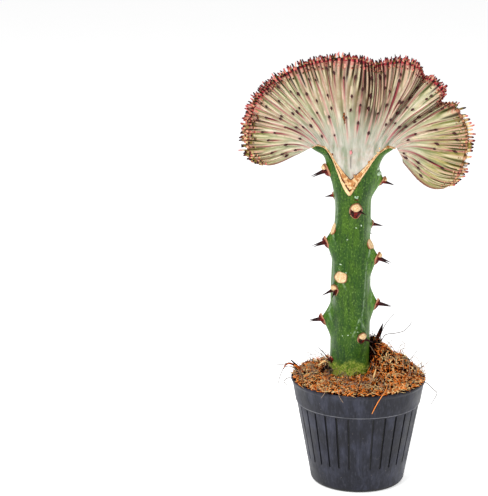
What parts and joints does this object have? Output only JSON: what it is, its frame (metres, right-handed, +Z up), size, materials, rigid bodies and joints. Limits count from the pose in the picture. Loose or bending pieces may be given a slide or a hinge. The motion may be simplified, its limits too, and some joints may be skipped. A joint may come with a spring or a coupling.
{
  "type": "potted coral cactus",
  "caption": "Grafted coral cactus in a nursery pot: a waved, ribbed fan with a pink toothed edge on a thorny green rootstock set in coir.",
  "frame": {"origin": "middle of the pot's underside, on the surface it stands on", "axes": "+Z up along the pot's axis; the fan's broad face looks along -Y and its width runs along X"},
  "size_m": [0.1787, 0.1048, 0.3399],
  "materials": {
    "pot_plastic": "thin dark grey moulded plastic, semi-matte, slightly dusty",
    "coir": "dry fibrous coconut coir, matt",
    "stem_skin": "smooth waxy green skin with brown areoles and dark spines",
    "callus": "rough tan cork",
    "crest_skin": "pale waxy green flesh with pink ribs",
    "margin_skin": "pink to dark red growing teeth"
  },
  "bodies": {
    "root": {"pot": "pot_plastic", "soil": "coir", "rootstock": "stem_skin", "graft_callus": "callus", "crest": "crest_skin", "crest_margin": "margin_skin"}
  },
  "joints": []
}
